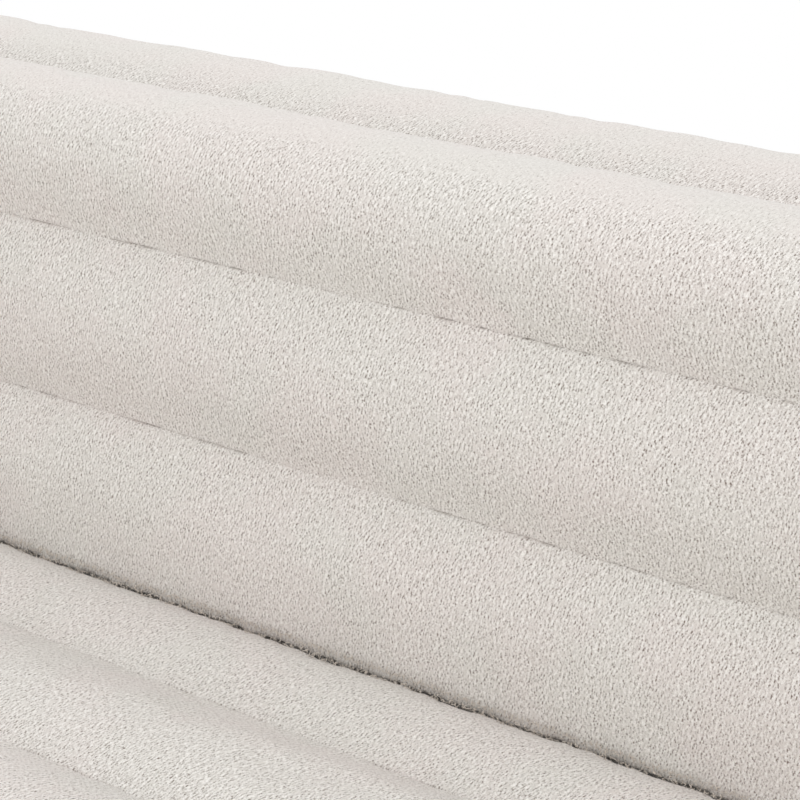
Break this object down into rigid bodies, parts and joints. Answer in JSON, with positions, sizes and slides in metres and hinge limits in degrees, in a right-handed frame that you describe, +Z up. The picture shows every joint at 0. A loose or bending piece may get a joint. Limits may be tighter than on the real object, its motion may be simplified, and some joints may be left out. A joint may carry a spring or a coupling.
{
  "type": "tuxedo sofa",
  "caption": "Tuxedo sofa with arms as high as the back, horizontal channels all round, a loose bench seat cushion and tapered legs.",
  "frame": {"origin": "on the floor, under the middle of the bounding box", "axes": "+X to the right of someone who faces the sofa, +Y towards its back, +Z up"},
  "size_m": [2.2, 0.815, 0.7525],
  "materials": {
    "boucle_fabric": "looped off-white boucle",
    "foam": "matte",
    "hardboard": "matte",
    "leg_wood": "satin",
    "zinc_steel": "zinc plated",
    "spring_steel": "bare",
    "glide_plastic": "matte",
    "dust_cloth": "matte",
    "insulator_cloth": "matte",
    "deck_fabric": "plain weave",
    "webbing": "matte",
    "zip_tape": "matte",
    "zip_metal": "satin",
    "frame_timber": "sawn"
  },
  "bodies": {
    "sofa_frame": {"arm_base_board_left": "frame_timber", "arm_base_board_right": "frame_timber", "arm_front_cover_left": "boucle_fabric", "arm_front_cover_right": "boucle_fabric", "arm_front_foam_left": "foam", "arm_front_foam_right": "foam", "arm_inside_panel_left": "hardboard", "arm_inside_panel_right": "hardboard", "arm_outside_panel_left": "hardboard", "arm_outside_panel_right": "hardboard", "arm_posts": "frame_timber", "arm_tack_rails": "frame_timber", "arm_top_board_left": "frame_timber", "arm_top_board_right": "frame_timber", "back_base_board": "frame_timber", "back_outside_panel": "hardboard", "back_posts": "frame_timber", "back_tack_rail": "frame_timber", "back_top_board": "frame_timber", "back_webbing": "webbing", "centre_legs": "leg_wood", "corner_blocks": "frame_timber", "cross_rails": "frame_timber", "deck_cloth": "deck_fabric", "deck_pad": "foam", "dust_cover": "dust_cloth", "end_rail_left": "frame_timber", "end_rail_right": "frame_timber", "front_rail": "frame_timber", "front_rail_cover": "boucle_fabric", "front_rail_foam": "foam", "inside_arm_cover_left": "boucle_fabric", "inside_arm_cover_right": "boucle_fabric", "inside_arm_foam_left": "foam", "inside_arm_foam_right": "foam", "inside_back_cover": "boucle_fabric", "inside_back_foam": "foam", "leg_bolts": "zinc_steel", "leg_front_left": "leg_wood", "leg_front_right": "leg_wood", "leg_glides": "glide_plastic", "leg_plates": "zinc_steel", "leg_rear_left": "leg_wood", "leg_rear_right": "leg_wood", "outside_arm_cover_left": "boucle_fabric", "outside_arm_cover_right": "boucle_fabric", "outside_arm_foam_left": "foam", "outside_arm_foam_right": "foam", "outside_back_cover": "boucle_fabric", "outside_back_foam": "foam", "plate_screws": "zinc_steel", "rear_rail": "frame_timber", "seat_springs": "spring_steel", "spring_clips": "zinc_steel", "spring_insulator": "insulator_cloth", "spring_tie_wires": "spring_steel"},
    "seat_cushion": {"seat_cushion_core": "foam", "seat_cushion_cover": "boucle_fabric", "cushion_zip": "zip_tape"},
    "slider": {"zip_slider": "zip_metal"}
  },
  "joints": [
    {"name": "seat_cushion_lift", "type": "slide", "parent": "sofa_frame", "child": "seat_cushion", "axis": [0, 0, 1], "range_m": [0, 0.48]},
    {"name": "zip_slide", "type": "slide", "parent": "seat_cushion", "child": "slider", "axis": [1, 0, 0], "range_m": [0, 1.64]}
  ]
}
